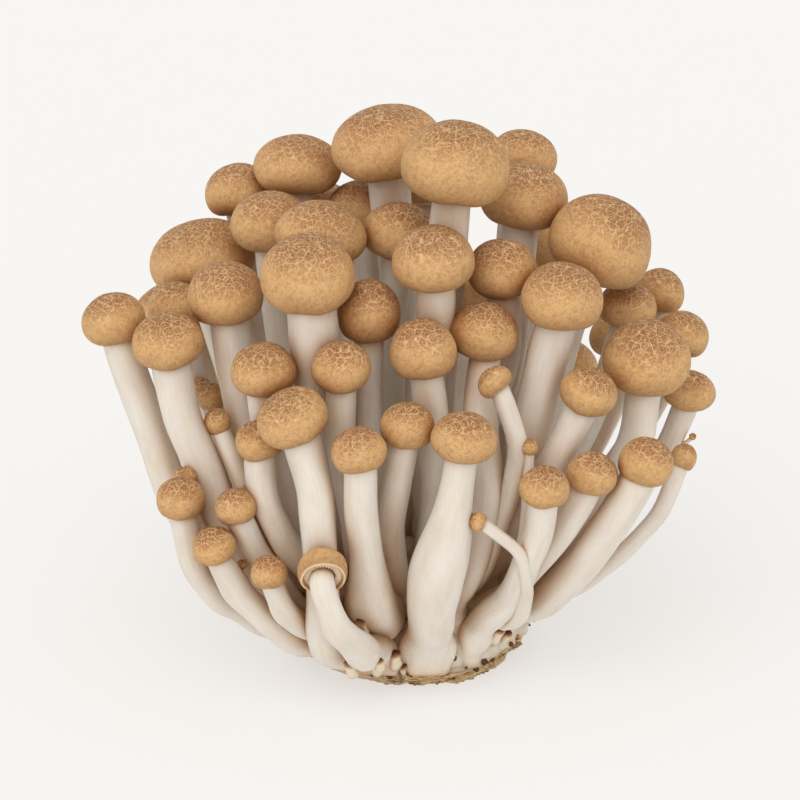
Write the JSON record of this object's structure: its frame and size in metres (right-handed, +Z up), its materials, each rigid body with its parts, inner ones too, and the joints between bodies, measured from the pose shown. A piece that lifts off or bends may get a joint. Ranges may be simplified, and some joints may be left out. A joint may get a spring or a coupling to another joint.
{
  "type": "beech mushroom cluster",
  "caption": "Fresh cluster of brown beech mushrooms: tan domed caps on pale curved stems fanning up from one shared lump of mycelium.",
  "frame": {"origin": "middle of the cluster's bounding box, on the flat surface it rests on", "axes": "+Z up, +X to the right of the cluster as seen from its fuller front, +Y towards its back, so the front faces -Y"},
  "size_m": [0.1178, 0.1094, 0.1045],
  "materials": {
    "mushroom_flesh": "satin",
    "mycelium": "matte",
    "cap_skin": "satin",
    "gills": "matte",
    "substrate": "matte"
  },
  "bodies": {
    "root": {"base": "mycelium", "crown_mushroom_1": "mushroom_flesh", "crown_mushroom_2": "mushroom_flesh", "crown_mushroom_3": "mushroom_flesh", "crown_mushroom_4": "mushroom_flesh", "crown_mushroom_5": "mushroom_flesh", "crown_mushroom_6": "mushroom_flesh", "crown_mushroom_7": "mushroom_flesh", "crown_mushroom_8": "mushroom_flesh", "crown_mushroom_9": "mushroom_flesh", "crown_mushroom_10": "mushroom_flesh", "crown_mushroom_11": "mushroom_flesh", "crown_mushroom_12": "mushroom_flesh", "crown_mushroom_13": "mushroom_flesh", "left_mushroom_1": "mushroom_flesh", "left_mushroom_2": "mushroom_flesh", "left_mushroom_3": "mushroom_flesh", "left_mushroom_4": "mushroom_flesh", "left_mushroom_5": "mushroom_flesh", "left_mushroom_6": "mushroom_flesh", "right_mushroom_1": "mushroom_flesh", "right_mushroom_2": "mushroom_flesh", "right_mushroom_3": "mushroom_flesh", "right_mushroom_4": "mushroom_flesh", "right_mushroom_5": "mushroom_flesh", "right_mushroom_6": "mushroom_flesh", "right_mushroom_7": "mushroom_flesh", "right_mushroom_8": "mushroom_flesh", "right_mushroom_9": "mushroom_flesh", "right_mushroom_10": "mushroom_flesh", "right_mushroom_11": "mushroom_flesh", "right_mushroom_12": "mushroom_flesh", "front_mushroom_1": "mushroom_flesh", "front_mushroom_2": "mushroom_flesh", "front_mushroom_3": "mushroom_flesh", "front_mushroom_4": "mushroom_flesh", "front_mushroom_5": "mushroom_flesh", "front_mushroom_6": "mushroom_flesh", "front_mushroom_7": "mushroom_flesh", "front_mushroom_8": "mushroom_flesh", "front_mushroom_9": "mushroom_flesh", "front_mushroom_10": "mushroom_flesh", "front_mushroom_11": "mushroom_flesh", "low_mushroom_1": "mushroom_flesh", "low_mushroom_2": "mushroom_flesh", "low_mushroom_3": "mushroom_flesh", "low_mushroom_4": "mushroom_flesh", "low_mushroom_5": "mushroom_flesh", "low_mushroom_6": "mushroom_flesh", "low_mushroom_7": "mushroom_flesh", "back_mushroom_1": "mushroom_flesh", "back_mushroom_2": "mushroom_flesh", "back_mushroom_3": "mushroom_flesh", "back_mushroom_4": "mushroom_flesh", "back_mushroom_5": "mushroom_flesh", "back_mushroom_6": "mushroom_flesh", "back_mushroom_7": "mushroom_flesh", "back_mushroom_8": "mushroom_flesh", "back_mushroom_9": "mushroom_flesh", "back_mushroom_10": "mushroom_flesh"}
  },
  "joints": []
}
